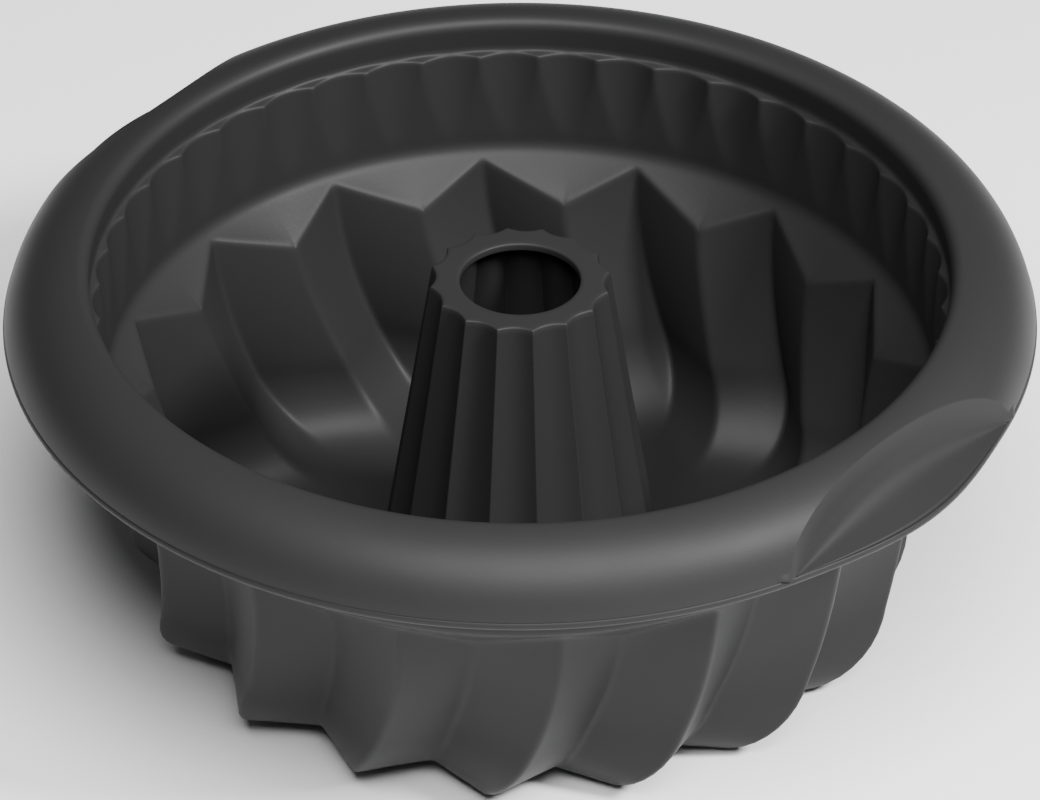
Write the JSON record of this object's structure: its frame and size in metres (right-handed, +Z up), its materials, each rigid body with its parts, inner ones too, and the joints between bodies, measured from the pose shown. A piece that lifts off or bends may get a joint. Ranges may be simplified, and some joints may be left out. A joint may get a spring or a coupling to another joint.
{
  "type": "bundt pan",
  "caption": "Round silicone cake mould with swirled ridges, a fluted centre tube, a scalloped wall and a rolled rim with two scooped grips.",
  "frame": {"origin": "on the table, under the centre of the tube", "axes": "+Z up along the tube, +X through the middle of one grip, the other grip at -X"},
  "size_m": [0.2762, 0.2712, 0.1083],
  "materials": {
    "silicone": "satin matte black silicone",
    "steel": "drawn stainless wire"
  },
  "bodies": {
    "root": {"pan_body": "silicone", "rim_wire": "steel"}
  },
  "joints": []
}
